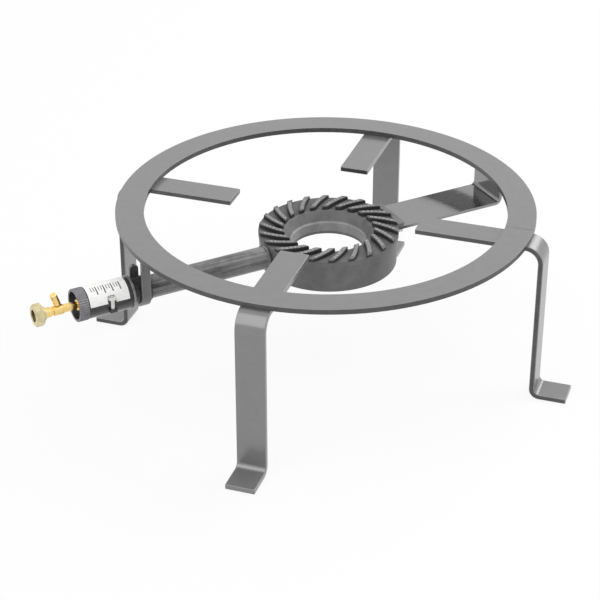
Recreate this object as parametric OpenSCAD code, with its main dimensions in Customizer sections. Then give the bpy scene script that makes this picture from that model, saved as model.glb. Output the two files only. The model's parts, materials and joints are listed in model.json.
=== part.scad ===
// Outdoor gas burner: a cast ring burner hung inside a flat steel ring stand.
// Lengths are in millimetres. The origin is the stand's middle on the ground, with +Z up.
// The bars lie along X and Y. The gas comes in along one diagonal, and a strap carries
// the burner on the other.

/* [Stand] */
// Outer diameter of the ring that the pot stands on
ring_d = 400; // [390:1:430]
// Width of the ring's flat
ring_w = 27; // [26:0.5:32]
// Thickness of the ring's flat
ring_t = 5; // [4:0.5:6]
// Height of the ring's top above the ground
stand_h = 168; // [160:1:190]
// Width of the four flat bars
bar_w = 28; // [24:1:32]
// Thickness of the bars
bar_t = 5; // [4:0.5:6]
// Distance from the middle to a bar's inner end
bar_in_r = 92; // [88:1:100]
// How far a leg's outer face stands out past the ring
leg_out = 15; // [12:1:20]
// The same for the left leg, which is bent closer in
left_leg_out = 11; // [10:1:20]
// Outer radius of the bend at a leg's top
leg_bend_r = 18; // [14:1:20]
// Inner radius of the bend at a foot
foot_bend_r = 5; // [4:0.5:8]
// Length of a foot past its leg's outer face
foot_l = 31; // [24:1:40]
// Leg length of the fillet welds
weld_leg = 2.5; // [1.5:0.5:3]
// Width of the ring's butt joint line
joint_line_w = 1.2; // [0.8:0.1:2]
// Depth of that line
joint_line_depth = 0.4; // [0.2:0.1:0.8]

/* [Burner] */
// Distance by which the burner hangs off the stand's middle, towards its strap
burner_shift = 3.4; // [0:0.2:3.6]
// Outer radius of the ribbed crown
crown_r = 67.6; // [66:0.2:70]
// Distance of the crown's rim below the top of the ring
crown_drop = 28; // [27.5:0.5:30]
// Height of the crown's rim
crown_rim_h = 5; // [4:0.5:5.5]
// Depth by which the crown is dished from its rim to the ribs' inner ends
crown_dish = 1.2; // [0.6:0.2:1.8]
// Wall thickness of the crown
crown_wall = 4; // [3.6:0.2:4.4]
// Radius of the hole in the burner's middle
hole_r = 35; // [32:0.5:36]
// Number of ribs
rib_n = 22; // [18:1:24]
// Width of a rib
rib_w = 5.2; // [4.4:0.2:6]
// Height of the ribs' level tops above the crown's rim
rib_h = 3.4; // [2.4:0.2:3.8]
// Radius at which the ribs start
rib_in_r = 43.5; // [42:0.5:45]
// Slant of the ribs from the radius, in degrees
rib_slant = 37; // [25:1:45]
// Compass angle of the first rib's inner end, in degrees
rib_from = 14; // [0:1:16]
// Number of flame ports on each rib
port_n = 6; // [4:1:7]
// Radius of a flame port
port_r = 0.85; // [0.6:0.05:1.1]
// Height of the casting from its foot to the crown's rim
head_h = 31.6; // [30.6:0.2:33]
// Wall thickness of the bowl
bowl_wall = 4.2; // [3.6:0.2:5]
// How far the bowl's side draws in towards its foot
bowl_draft = 1.2; // [0.8:0.2:2.4]
// Width of the lug that rests on the strap
lug_w = 49; // [47:1:52]
// Distance from the crown's edge to the lug's straight end
lug_out = 3.4; // [3.2:0.2:6]
// Thickness of the lug
lug_t = 4.5; // [4:0.5:5]
// Height of the lug's top above the crown's rim
lug_rise = 1.2; // [0.8:0.2:2.4]
// Thread radius of the screws in the casting
screw_r = 2; // [1.5:0.25:2.25]

/* [Strap and hook] */
// Width of the strap that carries the burner
strap_w = 46; // [44:1:48]
// Thickness of the strap
strap_t = 3; // [2.5:0.5:3.5]
// Distance of the strap's upright inside the ring's outer edge
strap_inset = 13; // [12:0.5:16]
// Inner radius of the strap's bends
strap_bend_r = 4; // [3:0.5:6]
// Length of the strap's flange under the ring, past its bend
strap_flange = 5; // [4:0.5:6]
// Width of the hook that the mixer's neck hangs in
hook_w = 9; // [7:0.5:10]
// Thickness of the hook
hook_t = 3; // [2:0.5:3.5]
// Height of the hook's free end above the tube's axis
hook_rise = 19; // [17:1:22]
// Distance of the hook's middle inside the ring's outer edge
hook_inset = 5.5; // [5.5:0.5:8]

/* [Tube and mixer] */
// Compass angle of the gas inlet from +X, in degrees
inlet_az = 226.6; // [220:0.1:232]
// Distance of the tube's axis below the top of the ring
tube_drop = 41; // [40.5:0.25:42]
// Outer radius of the mixing tube
tube_r = 11; // [10.5:0.25:11.5]
// Wall thickness of the tube
tube_wall = 1.5; // [1:0.25:2]
// Outer radius of the mixer housing
mixer_r = 15; // [14.8:0.1:16]
// Distance of the housing's shoulder outside the ring's outer edge
mixer_out = 5; // [4:0.5:8]
// Length of the housing from its shoulder to its end face
mixer_l = 45; // [44:0.5:50]
// Wall thickness of the housing
mixer_wall = 3; // [2.6:0.1:3.2]
// Length of the housing's neck
neck_l = 18; // [17:0.5:20]
// Wall thickness of the neck
neck_wall = 1.4; // [1.2:0.1:2]
// Length of the label sticker
label_l = 38.5; // [30:0.5:38.5]
// Thickness of the sticker
label_t = 0.25; // [0.2:0.05:0.4]
// Outer radius of the air collar
collar_r = 15.5; // [15:0.1:17]
// Length of the air collar
collar_l = 9.4; // [9:0.1:12]
// Thickness of the air collar's wall and face
collar_wall = 2.5; // [2:0.1:3]
// Number of air windows
window_n = 4; // [3:1:4]
// Radius of an air window
window_r = 2.6; // [2:0.1:2.8]

/* [Tap and inlet] */
// Outer radius of the jet holder's stem
stem_r = 3.15; // [3:0.05:3.3]
// Radius of the gas bore
gas_r = 0.7; // [0.5:0.1:0.7]
// Radius of the jet's hole
jet_r = 0.45; // [0.3:0.05:0.5]
// Length of bare stem between the collar and the tap
stem_show = 2.3; // [2:0.1:4]
// Outer radius of the tap's neck
tap_neck_r = 3.9; // [3.8:0.1:4.3]
// Length of that neck
tap_neck_l = 9; // [8:0.5:11]
// Outer radius of the tap body
tap_r = 4.7; // [4.5:0.1:5.2]
// Length of the tap body past its neck
tap_l = 9.3; // [9:0.1:12]
// Radius of the turning core in the tap
rotor_r = 2.2; // [2.2:0.1:2.4]
// Lean of the closed tap's lever from upright, in degrees
lever_lean = 19; // [19:1:24]
// Radius of the lever's knob
lever_r = 3.3; // [2.8:0.1:3.5]
// Reach of the lever from the core's axis
lever_reach = 18; // [16:0.5:20]
// Outer radius of the inlet nipple
nipple_r = 3.6; // [3.4:0.1:3.8]
// Outer radius of the nipple's shoulder
shoulder_r = 4.8; // [4.4:0.1:5]
// Length of that shoulder
nipple_shoulder_l = 5.2; // [4:0.2:6]
// Width of the union nut across its flats
nut_af = 19; // [18:0.5:21]
// Length of the nut's hexagon
nut_l = 8.2; // [8:0.2:12]
// Outer radius of the nut's round hub
hub_r = 6.3; // [5.6:0.1:7]
// Length of that hub
hub_l = 2.5; // [2:0.1:2.6]
// Radius of the nut's threaded bore
nut_bore_r = 5.7; // [5.5:0.1:6.2]
// Length of that bore
nut_bore_l = 4.4; // [3.4:0.2:4.4]

/* [Hidden] */
$fn = 72;

// Clearances
run_gap = 0.06;      // radial, where one piece turns on another
seat_gap = 0.2;      // radial, where a curved piece sits in another
thread_gap = 0.05;   // radial, where a thread holds
face_gap = 0.3;      // between faces that turn past each other
head_gap = 0.5;      // between the casting and the strap's curved end
cut = 1;             // overrun of a cutting tool

// Places that several pieces share
ring_r = ring_d / 2;
ring_in_r = ring_r - ring_w;
ring_under = stand_h - ring_t;
strap_az = inlet_az - 180;
axis_z = stand_h - tube_drop;
rim_z = stand_h - crown_drop;
seam_z = rim_z - crown_rim_h;
foot_z = rim_z - head_h;
rib_top = rim_z + rib_h;
lug_end = crown_r + burner_shift + lug_out;
lug_top = rim_z + lug_rise;
strap_top = lug_top - lug_t;

// Details of the stand
joint_az = 3;                // compass angle of the ring's butt joint, in degrees

// Details of the casting
rim_land = 1.4;              // flat on the rim, outside the dish
dish_r = crown_r - rim_land;
hole_lip = 1.6;              // flat band round the middle hole
hole_round = 1;              // drop of that band's inner edge
lip_drop = 9.4;              // fall from the ribs to that band
skirt_wall = 3.5;            // wall of the crown's sleeve round the hole
skirt_l = 9.9;               // depth of the sleeve below the hole's lip
rib_round = 1.2;             // chamfer of a rib's ends
rib_land = 1.2;              // flat between the ribs' inner ends and the cone to the hole
rib_back = 0.4;              // the ribs' outer ends stand back from the crown's edge
rib_root = 1.2;              // depth to which a rib is sunk in the crown
rib_steps = 8;               // straight runs along each side of a rib
port_first_share = 0.12;     // share of a rib's length where the ports start
port_last_share = 0.78;      // share of it where they end
bowl_step = 0.4;             // the bowl's top stands back from the crown's rim
lip_h = 2.5;                 // height of the bowl's lip under the sleeve
lip_ridge = 2;               // width of the bowl's ridge round the sleeve's foot
ridge_h = 1.2;               // height of that ridge
floor_t = 3.6;               // thickness of the bowl's floor at its foot
foot_land = 3;               // width of the bowl's foot
inlet_room = 0.3;            // height left between the bowl's inlet and the crown
inlet_wall = 2;              // wall of that inlet
spigot_l = 12;               // length of the inlet inside the mixing tube
lip_z = rim_z - crown_dish - lip_drop;
skirt_z = lip_z - skirt_l;
bowl_r = crown_r - bowl_step;
bowl_foot_r = bowl_r - bowl_draft;
land_r = bowl_r - bowl_wall;
lug_in = sqrt(crown_r * crown_r - lug_w * lug_w / 4) - rim_land + burner_shift;

// Screws
screw_head_r = 1.8 * screw_r;
screw_head_h = 1.3 * screw_r;
screw_hole_r = screw_r + seat_gap;
boss_r = 3 * screw_r;
boss_pcr = (rib_in_r + land_r) / 2 - lip_ridge / 2;
boss_n = 3;
boss_drop = 6;               // the bosses meet this far below the seam
boss_z = seam_z - boss_drop;
spot_rise = 5.3;             // height of the screws' seats above the bowl's foot
spot_z = foot_z + spot_rise;
screw_bite = 3;              // depth of thread in the crown
lug_cover = 1;               // iron left over the lug's blind screw holes
lug_screw_x = lug_end - 1.55 * screw_r;
lug_screw_y = lug_w / 2 - 2.45 * screw_r;

// Places along the inlet, measured from the stand's middle
tap_wall = 0.4;              // least wall between the tap's core and its step
tube_start = crown_r - burner_shift + seat_gap;
neck_r = tube_r + thread_gap + neck_wall;
mixer_in = ring_r + mixer_out;
neck_start = mixer_in - neck_l;
tube_stop = mixer_in - mixer_out + ring_t / 5;
mixer_end = mixer_in + mixer_l;
collar_start = mixer_end + face_gap;
collar_end = collar_start + collar_l;
tap_start = collar_end + stem_show;
tap_step = tap_start + tap_neck_l;
tap_end = tap_step + tap_l;
rotor_at = tap_step + rotor_r + tap_wall;

// Details of the mixer
shoulder_l = 1.5;            // length of the housing's sloped shoulder
bell_l = 9;                  // length of the bell from the tube to the chamber
end_wall = 4;                // thickness of the housing's end wall
band_l = 2.2;                // length of the bright band
band_t = 0.8;                // thickness of that band
tube_bead = 1;               // height of the bead at the tube's head end
bead_l = 3;                  // length of that bead
label_from = 6;              // distance of the sticker from the shoulder
label_glue = 0.05;           // thickness of the glue under the sticker
label_turn = 180;            // angle that the sticker covers
label_edge = 8;              // its lower edge above the horizontal, in degrees
clamp_at = mixer_in + mixer_l * 0.52;
clamp_r = 2;                 // thread radius of the clamp screw
clamp_up = 8.3;              // its top above the tube's axis
clamp_down = 6.7;            // its tip below that axis
clamp_head_r = 3.75;
clamp_head_h = 2.5;
ear_w = 7;                   // width of the ear that the clamp screw bites in
ear_h = 3;                   // height of that ear
ear_l = 5.8;                 // length of that ear from the housing's inside
knurl_n = 44;                // teeth of the collar's knurl
knurl_depth = 0.5;
hex_share = 2 / sqrt(3);     // width across corners as a share of that across flats
holder_nut_af = 10;
holder_nut_t = 4;
jet_af = 8;
jet_l = 10;                  // length of the jet
jet_nose_l = 4;              // length of its nose
jet_grip = 4;                // length of stem that it holds
stem_in = 5;                 // length of stem inside the tap
window_c = (mixer_r - mixer_wall + stem_r + window_r / 2) / 2;

// Details of the tap and its lever
spigot_r = 2.6;              // radius of the nipple's end in the tap
nipple_in = 2.5;             // length of that end
stalk_r = 1.4;               // radius of the lever's stalk
stalk_gap = 0.1;             // clearance of the stalk in its slot
slot_l = 2 * (tap_r * tan(lever_lean) + stalk_r / cos(lever_lean) + stalk_gap);
slot_floor = 1.2;            // height of the slot's floor above the core's axis
stalk_foot = 0.8;            // distance of the stalk's end from the core's axis
knob_gap = 0.3;              // between the knob's edge and the tap body
knob_at = (tap_r + knob_gap + lever_r * sin(lever_lean)) / cos(lever_lean);
knob_cone = 0.8;             // length of the cone under the knob
knob_round = 0.8;            // chamfer of the knob's tip
dimple_r = 1.4;              // dimple in the knob's tip
dimple_depth = 0.8;

// Details of the inlet
nipple_neck_l = 2.5;         // bare neck between the tap and the nipple's shoulder
shoulder_at = tap_end + nipple_neck_l;
nut_start = shoulder_at + nipple_shoulder_l + face_gap;
hex_start = nut_start + hub_l;
nut_end = hex_start + nut_l;
nut_turn = 18;               // turn of the nut's corners from straight down, in degrees
nut_chamfer = 30;            // slope of the nut's turned ends, in degrees
nut_land = 0.3;              // width by which those turned ends cut into the flats
nut_back = 2.6;              // thickness of the nut's back wall
relief_depth = 0.4;          // depth of the thread relief behind the nut's bore
flange_gap = 0.6;            // between the nipple's flange and the nut's bore
flange_r = nut_bore_r - flange_gap;
flange_at = nut_start + nut_back + face_gap;
flange_t = 1.8;
washer_r = flange_r + thread_gap;
washer_hole_r = 2.2;
washer_t = 1.5;

// Height of the crown's dished face at radius r
function dish_z(r) = rim_z - crown_dish * (dish_r - r) / (dish_r - rib_in_r);

// Height of the crown's underside just inside the bowl's wall, at radius r
function under_z(r) = min(dish_z(r) - crown_wall, seam_z - seat_gap);

// Compass angle of a rib's middle line at radius r
function rib_az(r) = -tan(rib_slant) * ln(r / rib_in_r) * 180 / PI;

// Half of the angle that a rib takes at radius r
function rib_half(r) = rib_w / 2 / cos(rib_slant) / r * 180 / PI;

function polar(r, a) = [r * cos(a), r * sin(a)];

function hex_r(af) = af / 2 * hex_share;

// Turns children so that their Z axis runs outward along the gas inlet, with -X up
module on_inlet() rotate([0, 0, inlet_az]) translate([0, 0, axis_z]) rotate([0, 90, 0]) children();

// Moves children from the stand's middle to the burner's
module at_burner() translate(concat(polar(burner_shift, strap_az), [0])) children();

// A straight round piece along the inlet
module rod(from, to, r) translate([0, 0, from]) cylinder(r = r, h = to - from);

// A bend in a flat, seen from its edge, in the quadrant that starts at angle a
module bend(outer, inner, a) {
    intersection() {
        difference() {
            circle(r = outer);
            circle(r = inner);
        }
        rotate(a) square(outer + cut);
    }
}

// A fillet weld's triangle with its right angle at the origin
module fillet() polygon([[0, 0], [weld_leg, 0], [0, -weld_leg]]);

module pot_ring() {
    color("dimgray") difference() {
        translate([0, 0, ring_under]) cylinder(r = ring_r, h = ring_t, $fn = 144);
        translate([0, 0, ring_under - cut]) cylinder(r = ring_in_r, h = ring_t + 2 * cut, $fn = 144);
        rotate([0, 0, joint_az])
            translate([ring_in_r - cut, -joint_line_w / 2, stand_h - joint_line_depth])
                cube([ring_w + 2 * cut, joint_line_w, joint_line_depth + cut]);
    }
}

// One bar with its leg and foot, seen from its edge
module leg_outline(out) {
    face = ring_r + out;
    bar_low = ring_under - bar_t;
    translate([bar_in_r, bar_low]) square([face - leg_bend_r - bar_in_r, bar_t]);
    translate([face - leg_bend_r, ring_under - leg_bend_r]) bend(leg_bend_r, leg_bend_r - bar_t, 0);
    translate([face - bar_t, bar_t + foot_bend_r])
        square([bar_t, ring_under - leg_bend_r - bar_t - foot_bend_r]);
    translate([face + foot_bend_r, bar_t + foot_bend_r]) bend(bar_t + foot_bend_r, foot_bend_r, 180);
    translate([face + foot_bend_r, 0]) square([foot_l - foot_bend_r, bar_t]);
}

module leg(az, out) {
    color("dimgray") rotate([90, 0, az]) linear_extrude(height = bar_w, center = true) leg_outline(out);
}

module leg_right() leg(0, leg_out);
module leg_rear() leg(90, leg_out);
module leg_left() leg(180, left_leg_out);
module leg_front() leg(270, leg_out);

module bar_welds() {
    from = ring_in_r + weld_leg;
    to = ring_r + left_leg_out - leg_bend_r - weld_leg;
    color("gray") for (az = [0 : 90 : 270]) rotate([0, 0, az]) for (side = [0, 1]) mirror([0, side, 0])
        translate([from, bar_w / 2, ring_under]) rotate([90, 0, 90])
            linear_extrude(height = to - from) fillet();
}

// The strap seen from its edge: level, up, then out under the ring
module strap_outline() {
    up = ring_r - strap_inset;
    big = strap_bend_r + strap_t;
    low_z = strap_top + strap_bend_r;
    high_z = ring_under - big;
    translate([lug_in - strap_t, strap_top - strap_t])
        square([up - big - lug_in + strap_t, strap_t]);
    translate([up - big, low_z]) bend(big, strap_bend_r, 270);
    translate([up - strap_t, low_z]) square([strap_t, high_z - low_z]);
    translate([up + strap_bend_r, high_z]) bend(big, strap_bend_r, 90);
    translate([up + strap_bend_r, ring_under - strap_t]) square([strap_flange, strap_t]);
}

module lug_screw_places() {
    rotate([0, 0, strap_az]) for (side = [-1, 1])
        translate([lug_screw_x, side * lug_screw_y, 0]) children();
}

module support_strap() {
    color("silver") difference() {
        rotate([90, 0, strap_az]) linear_extrude(height = strap_w, center = true) strap_outline();
        at_burner() translate([0, 0, strap_top - strap_t - cut])
            cylinder(r = crown_r + head_gap, h = strap_t + 2 * cut);
        lug_screw_places() translate([0, 0, strap_top - strap_t - cut])
            cylinder(r = screw_hole_r, h = strap_t + 2 * cut);
    }
}

module strap_weld() {
    at = ring_r - strap_inset + strap_bend_r + strap_flange;
    l = strap_w - 2 * weld_leg;
    color("gray") rotate([90, 0, strap_az]) translate([at, ring_under, 0])
        linear_extrude(height = l, center = true) fillet();
}

module screw(len) {
    translate([0, 0, -screw_head_h]) cylinder(r = screw_head_r, h = screw_head_h);
    cylinder(r = screw_r, h = len);
}

module lug_screws() {
    color("silver") lug_screw_places() translate([0, 0, strap_top - strap_t])
        screw(strap_t + lug_t - lug_cover - seat_gap);
}

// The hook: down from the ring, round under the neck and up to a rounded free end
module tube_hanger() {
    inner = neck_r + seat_gap;
    outer = inner + hook_t;
    free = hook_rise - hook_w / 2;
    color("dimgray") on_inlet() translate([0, 0, ring_r - hook_inset]) {
        linear_extrude(height = hook_w, center = true) {
            bend(outer, inner, 0);
            bend(outer, inner, 270);
            translate([axis_z - ring_under, inner]) square([ring_under - axis_z, hook_t]);
            translate([-free, -outer]) square([free, hook_t]);
        }
        translate([-free, -inner, 0]) rotate([90, 0, 0]) cylinder(r = hook_w / 2, h = hook_t);
    }
}

module hanger_weld() {
    at = neck_r + seat_gap + hook_t;
    color("gray") on_inlet() translate([axis_z - ring_under, at, ring_r - hook_inset])
        linear_extrude(height = hook_w - weld_leg, center = true) rotate(90) fillet();
}

// The bowl's cross-section, from its lip at the hole to its rim
module bowl_outline() {
    sleeve = hole_r + skirt_wall;
    ridge = sleeve + seat_gap;
    polygon([[hole_r, skirt_z - lip_h], [sleeve, skirt_z - lip_h],
        [bowl_foot_r - foot_land, foot_z], [bowl_foot_r, foot_z],
        [bowl_r, seam_z], [land_r, seam_z],
        [bowl_foot_r - bowl_wall, foot_z + floor_t],
        [ridge + lip_ridge, skirt_z + ridge_h], [ridge, skirt_z + ridge_h],
        [ridge, skirt_z], [hole_r, skirt_z]]);
}

module boss_places() {
    at_burner() for (i = [0 : boss_n - 1]) rotate([0, 0, strap_az + i * 360 / boss_n])
        translate([boss_pcr, 0, 0]) children();
}

module burner_bowl() {
    inlet_at = bowl_foot_r - bowl_wall - burner_shift;
    inlet_r = under_z(bowl_foot_r - bowl_wall) - axis_z - inlet_room;
    spigot_at = tube_start + seat_gap;
    color("dimgray") difference() {
        union() {
            at_burner() rotate_extrude() bowl_outline();
            boss_places() translate([0, 0, spot_z - screw_head_h / 2])
                cylinder(r = boss_r, h = boss_z - spot_z + screw_head_h / 2);
            on_inlet() rod(inlet_at, spigot_at + cut, inlet_r);
            on_inlet() rod(spigot_at, spigot_at + spigot_l, tube_r - tube_wall - seat_gap);
        }
        boss_places() {
            translate([0, 0, spot_z - cut]) cylinder(r = screw_hole_r, h = boss_z - spot_z + 2 * cut);
            translate([0, 0, foot_z]) cylinder(r = screw_head_r + seat_gap, h = spot_z - foot_z);
        }
        on_inlet() rod(inlet_at - bowl_wall, spigot_at + spigot_l + cut, inlet_r - inlet_wall);
    }
}

// The crown's cross-section without its ribs
module crown_outline() {
    sleeve = hole_r + skirt_wall;
    inside = land_r - seat_gap;
    polygon([[hole_r, skirt_z], [hole_r, lip_z - hole_round], [hole_r + hole_lip, lip_z],
        [rib_in_r - rib_land, rim_z - crown_dish], [rib_in_r, rim_z - crown_dish],
        [dish_r, rim_z], [crown_r, rim_z], [crown_r, seam_z], [inside, seam_z], [inside, under_z(inside)],
        [rib_in_r, rim_z - crown_dish - crown_wall], [sleeve, lip_z - crown_wall],
        [sleeve, skirt_z]]);
}

// The band that every rib is cut from, level on top
module rib_band() {
    end_r = crown_r - rib_back;
    polygon([[rib_in_r, dish_z(rib_in_r) - rib_root], [rib_in_r, rib_top - rib_round],
        [rib_in_r + rib_round, rib_top], [end_r - rib_round, rib_top],
        [end_r, rib_top - rib_round], [end_r, dish_z(end_r) - rib_root]]);
}

// One rib from above, curved as a steady spiral
module rib_plan() {
    span = crown_r + cut - rib_in_r + cut;
    radii = [for (i = [0 : rib_steps]) rib_in_r - cut + span * i / rib_steps];
    polygon(concat([for (r = radii) polar(r, rib_az(r) + rib_half(r))],
        [for (i = [rib_steps : -1 : 0]) polar(radii[i], rib_az(radii[i]) - rib_half(radii[i]))]));
}

module port_places() {
    length = crown_r - rib_in_r;
    step = length * (port_last_share - port_first_share) / (port_n - 1);
    for (i = [0 : port_n - 1]) {
        r = rib_in_r + length * port_first_share + i * step;
        place = polar(r, rib_az(r));
        translate([place[0], place[1], rim_z - crown_dish - crown_wall - cut]) children();
    }
}

module each_rib() {
    at_burner() for (i = [0 : rib_n - 1]) rotate([0, 0, rib_from + i * 360 / rib_n]) children();
}

module burner_crown() {
    lug_h = lug_top - strap_top;
    color("gray") difference() {
        union() {
            at_burner() rotate_extrude() crown_outline();
            intersection() {
                at_burner() rotate_extrude() rib_band();
                each_rib() translate([0, 0, lip_z - crown_wall])
                    linear_extrude(height = rib_top + crown_wall - lip_z + cut) rib_plan();
            }
            difference() {
                rotate([0, 0, strap_az]) translate([lug_in, -lug_w / 2, strap_top])
                    cube([lug_end - lug_in, lug_w, lug_h]);
                at_burner() translate([0, 0, strap_top - cut]) cylinder(r = dish_r, h = lug_h + 2 * cut);
            }
            boss_places() translate([0, 0, boss_z])
                cylinder(r = boss_r - lip_ridge / 2, h = dish_z(boss_pcr) - crown_wall / 2 - boss_z);
        }
        each_rib() port_places()
            cylinder(r = port_r, h = crown_wall + crown_dish + rib_h + 2 * cut, $fn = 16);
        boss_places() translate([0, 0, boss_z - cut])
            cylinder(r = screw_r + thread_gap, h = screw_bite + cut + thread_gap);
        lug_screw_places() translate([0, 0, strap_top - cut])
            cylinder(r = screw_r + thread_gap, h = lug_h - lug_cover + cut);
    }
}

module bowl_screws() {
    color("silver") boss_places() translate([0, 0, spot_z]) screw(boss_z + screw_bite - spot_z);
}

module mixing_tube() {
    color("dimgray") on_inlet() difference() {
        union() {
            rod(tube_start, tube_stop, tube_r);
            rod(tube_start, tube_start + bead_l, tube_r + tube_bead);
        }
        rod(tube_start - cut, tube_stop + cut, tube_r - tube_wall);
    }
}

// The housing's cross-section: neck, sloped shoulder, chamber and end wall
module housing_outline() {
    socket = tube_r + thread_gap;
    chamber = mixer_r - mixer_wall;
    hole = stem_r + thread_gap;
    polygon([[hole, mixer_end], [mixer_r, mixer_end], [mixer_r, mixer_in],
        [neck_r, mixer_in - shoulder_l], [neck_r, neck_start], [socket, neck_start],
        [socket, tube_stop], [tube_r - tube_wall, tube_stop],
        [chamber, tube_stop + bell_l], [chamber, mixer_end - end_wall],
        [hole, mixer_end - end_wall]]);
}

module window_places() {
    for (i = [0 : window_n - 1]) rotate([0, 0, i * 360 / window_n]) translate([window_c, 0, 0]) children();
}

// Places children on the clamp screw's axis, with Z up
module on_clamp() translate([0, mixer_r + thread_gap, clamp_at]) rotate([0, -90, 0]) children();

module mixer_housing() {
    color([0.09, 0.09, 0.1]) on_inlet() difference() {
        union() {
            rotate_extrude() housing_outline();
            translate([clamp_down - ear_h, mixer_r - mixer_wall, clamp_at - ear_w / 2])
                cube([ear_h, ear_l, ear_w]);
        }
        translate([0, 0, mixer_end - end_wall - cut]) window_places()
            cylinder(r = window_r, h = end_wall + 2 * cut);
        on_clamp() {
            translate([0, 0, -clamp_down - cut]) cylinder(r = clamp_r + thread_gap, h = clamp_down + clamp_up);
            translate([0, 0, clamp_up - clamp_head_h]) cylinder(r = clamp_head_r + seat_gap, h = mixer_r);
        }
    }
}

module clamp_screw() {
    color("silver") on_inlet() on_clamp() {
        translate([0, 0, -clamp_down]) cylinder(r = clamp_r, h = clamp_down + clamp_up - clamp_head_h);
        difference() {
            translate([0, 0, clamp_up - clamp_head_h]) cylinder(r = clamp_head_r, h = clamp_head_h);
            translate([-clamp_head_r - cut, -clamp_head_h / 5, clamp_up - clamp_head_h / 2])
                cube([2 * (clamp_head_r + cut), clamp_head_h * 2 / 5, clamp_head_h]);
        }
    }
}

module housing_band() {
    color("lightgray") on_inlet() translate([0, 0, mixer_in]) difference() {
        cylinder(r = mixer_r + band_t, h = band_l);
        translate([0, 0, -cut]) cylinder(r = mixer_r, h = band_l + 2 * cut);
    }
}

module label_sticker() {
    color("white") on_inlet() difference() {
        translate([0, 0, mixer_in + label_from]) rotate([0, 0, 90 + label_edge])
            rotate_extrude(angle = label_turn)
                translate([mixer_r + label_glue, 0]) square([label_t, label_l]);
        on_clamp() translate([0, 0, -clamp_down])
            cylinder(r = clamp_head_r + 2 * seat_gap, h = clamp_down + clamp_up + 2 * seat_gap);
    }
}

// The collar's knurled edge: teeth as a plain zigzag
module knurl() {
    polygon([for (i = [0 : 2 * knurl_n - 1])
        polar(collar_r - knurl_depth * (i % 2), i * 180 / knurl_n)]);
}

module air_collar() {
    color("slategray") on_inlet() translate([0, 0, collar_start]) difference() {
        linear_extrude(height = collar_l) knurl();
        translate([0, 0, -cut]) cylinder(r = stem_r + run_gap, h = collar_l + 2 * cut);
        translate([0, 0, collar_wall]) cylinder(r = collar_r - collar_wall, h = collar_l);
        translate([0, 0, -cut]) window_places() cylinder(r = window_r, h = collar_wall + 2 * cut);
    }
}

module jet_holder() {
    color("goldenrod") on_inlet() difference() {
        rod(mixer_end - end_wall - jet_l, tap_start + stem_in, stem_r);
        rod(mixer_end - end_wall - jet_l - cut, tap_start + stem_in + cut, gas_r);
    }
}

module gas_jet() {
    grip_at = mixer_end - end_wall - jet_l;
    color("gold") on_inlet() difference() {
        union() {
            rod(grip_at + jet_grip - jet_l + jet_nose_l, grip_at + jet_grip, hex_r(jet_af), $fn = 6);
            rod(grip_at + jet_grip - jet_l, grip_at + jet_grip, stem_r);
        }
        rod(grip_at, grip_at + jet_grip + cut, stem_r + thread_gap);
        rod(grip_at - jet_l, grip_at + cut, jet_r);
    }
}

module holder_nut() {
    at = collar_start + collar_wall + face_gap;
    color("gold") on_inlet() difference() {
        rod(at, at + holder_nut_t, hex_r(holder_nut_af), $fn = 6);
        rod(at - cut, at + holder_nut_t + cut, stem_r + thread_gap);
    }
}

// Places children on the tap core's axis, with Z along it and -X up
module on_core() translate([0, 0, rotor_at]) rotate([-90, 0, 0]) children();

// Places children on the closed lever, with Z along it
module on_lever() translate([0, 0, rotor_at]) rotate([0, lever_lean, 0]) rotate([0, -90, 0]) children();

module tap_body() {
    color("goldenrod") on_inlet() difference() {
        union() {
            rod(tap_start, tap_step + tap_wall, tap_neck_r);
            rod(tap_step, tap_end, tap_r);
        }
        rod(tap_start - cut, tap_start + stem_in, stem_r + thread_gap);
        rod(tap_end - nipple_in, tap_end + cut, spigot_r + thread_gap);
        rod(tap_start, tap_end, gas_r);
        on_core() translate([0, 0, -tap_r - cut]) cylinder(r = rotor_r + run_gap, h = 2 * (tap_r + cut));
        translate([-tap_r - cut, -stalk_r - stalk_gap, rotor_at - slot_l / 2])
            cube([tap_r + cut - slot_floor, 2 * (stalk_r + stalk_gap), slot_l]);
    }
}

module tap_rotor() {
    l = 2 * sqrt(tap_r * tap_r - rotor_r * rotor_r);
    color("darkgoldenrod") on_inlet() difference() {
        on_core() translate([0, 0, -l / 2]) cylinder(r = rotor_r, h = l);
        on_lever() translate([0, 0, stalk_foot]) cylinder(r = stalk_r + thread_gap, h = rotor_r + cut);
        on_lever() rotate([0, 90 + lever_lean, 0])
            translate([0, 0, -rotor_r - cut]) cylinder(r = gas_r, h = 2 * (rotor_r + cut));
    }
}

module tap_lever() {
    color("goldenrod") on_inlet() on_lever() difference() {
        rotate_extrude() polygon([[0, stalk_foot], [stalk_r, stalk_foot], [stalk_r, knob_at - knob_cone],
            [lever_r, knob_at], [lever_r, lever_reach - knob_round],
            [lever_r - knob_round, lever_reach], [0, lever_reach]]);
        translate([0, 0, lever_reach - dimple_depth]) cylinder(r = dimple_r, h = dimple_depth + cut);
    }
}

module inlet_nipple() {
    color("goldenrod") on_inlet() difference() {
        union() {
            rod(tap_end - nipple_in, tap_end + cut, spigot_r);
            rod(tap_end, flange_at + flange_t, nipple_r);
            rod(shoulder_at, shoulder_at + nipple_shoulder_l, shoulder_r);
            rod(flange_at, flange_at + flange_t, flange_r);
        }
        rod(tap_end - nipple_in - cut, flange_at + flange_t + cut, gas_r);
    }
}

module inlet_washer() {
    at = flange_at + flange_t;
    color("black") on_inlet() difference() {
        rod(at, at + washer_t, washer_r);
        rod(at - cut, at + washer_t + cut, washer_hole_r);
    }
}

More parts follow.
